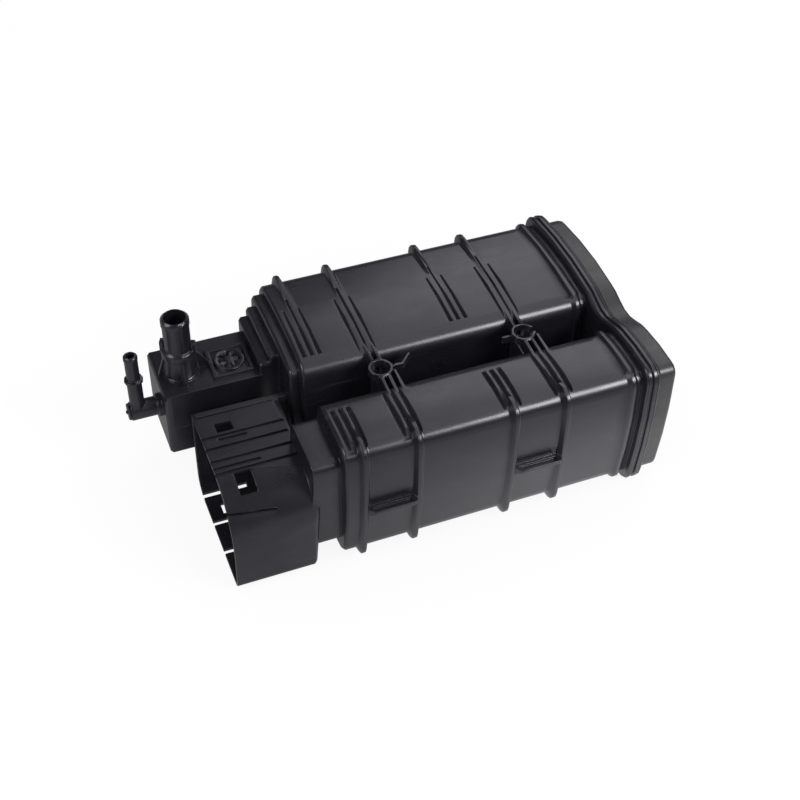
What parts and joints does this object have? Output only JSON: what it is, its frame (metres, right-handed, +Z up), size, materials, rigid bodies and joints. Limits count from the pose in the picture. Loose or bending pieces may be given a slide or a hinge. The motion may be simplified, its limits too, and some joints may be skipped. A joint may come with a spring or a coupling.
{
  "type": "charcoal canister",
  "caption": "Twin-chamber black plastic charcoal canister for fuel vapour, ribbed all round, with hose ports on an end block and an open clip sleeve.",
  "frame": {"origin": "centre of the bounding box's underside, on the surface that the canister lies on", "axes": "+X from the ports to the welded end cover, +Y from the narrow front chamber to the wide rear one, +Z up along the upright hose ports"},
  "size_m": [0.2852, 0.1586, 0.1046],
  "materials": {
    "case_plastic": "black satin moulded plastic with a fine grain",
    "cover_plastic": "black matt moulded plastic",
    "plug_plastic": "black satin plastic",
    "insert_plastic": "natural nylon",
    "filter_fleece": "off-white needled fleece",
    "carbon_granules": "packed black carbon granules",
    "spring_steel": "bright spring wire"
  },
  "bodies": {
    "root": {"canister_case": "case_plastic", "end_cover": "cover_plastic", "purge_arm_plug": "plug_plastic", "rear_support_grid": "insert_plastic", "rear_inlet_pad": "filter_fleece", "rear_carbon_bed": "carbon_granules", "rear_outlet_pad": "filter_fleece", "rear_pressure_plate": "insert_plastic", "rear_spring_1": "spring_steel", "rear_spring_2": "spring_steel", "front_support_grid": "insert_plastic", "front_inlet_pad": "filter_fleece", "front_carbon_bed": "carbon_granules", "front_outlet_pad": "filter_fleece", "front_pressure_plate": "insert_plastic", "front_spring_1": "spring_steel", "front_spring_2": "spring_steel"}
  },
  "joints": []
}
